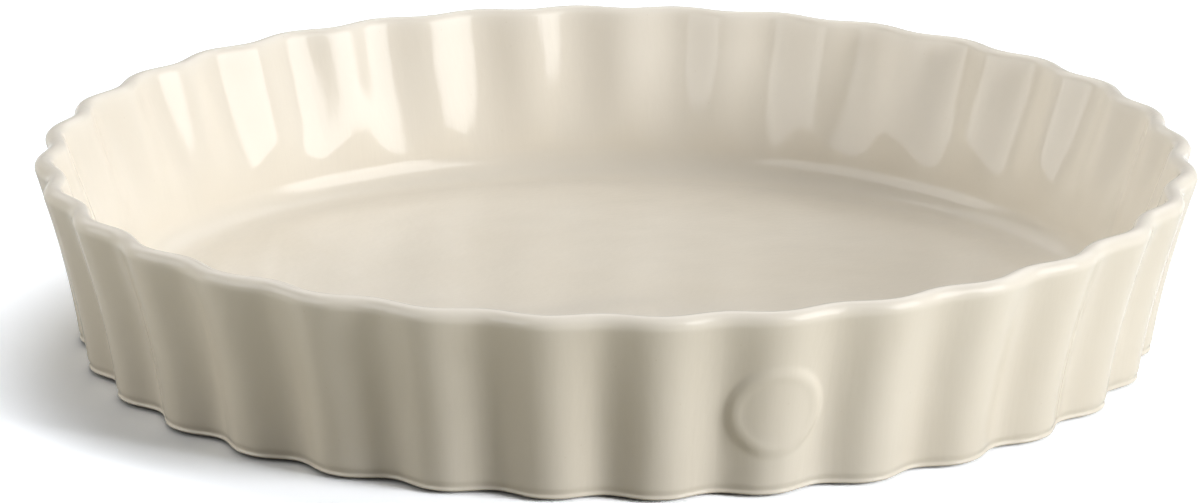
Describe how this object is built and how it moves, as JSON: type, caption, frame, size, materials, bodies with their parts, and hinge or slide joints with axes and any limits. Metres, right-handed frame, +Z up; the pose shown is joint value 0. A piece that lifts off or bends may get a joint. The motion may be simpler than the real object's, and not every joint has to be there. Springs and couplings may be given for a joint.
{
  "type": "tart dish",
  "caption": "Round tart dish in glazed stoneware, with a fluted flaring wall, a scalloped rounded rim, a smooth flat floor and a bare foot ring.",
  "frame": {"origin": "on the dish's axis, on the surface that its foot ring stands on", "axes": "+Z up the dish's axis; the crest of a flute faces each of -Y, +X, +Y and -X"},
  "size_m": [0.32, 0.32, 0.053],
  "materials": {
    "bare_clay": "matt fired stoneware, ground smooth on the foot ring",
    "ivory_glaze": "glossy warm ivory glaze"
  },
  "bodies": {
    "root": {"clay_body": "bare_clay", "glaze_coat": "ivory_glaze", "base_glaze": "ivory_glaze"}
  },
  "joints": []
}
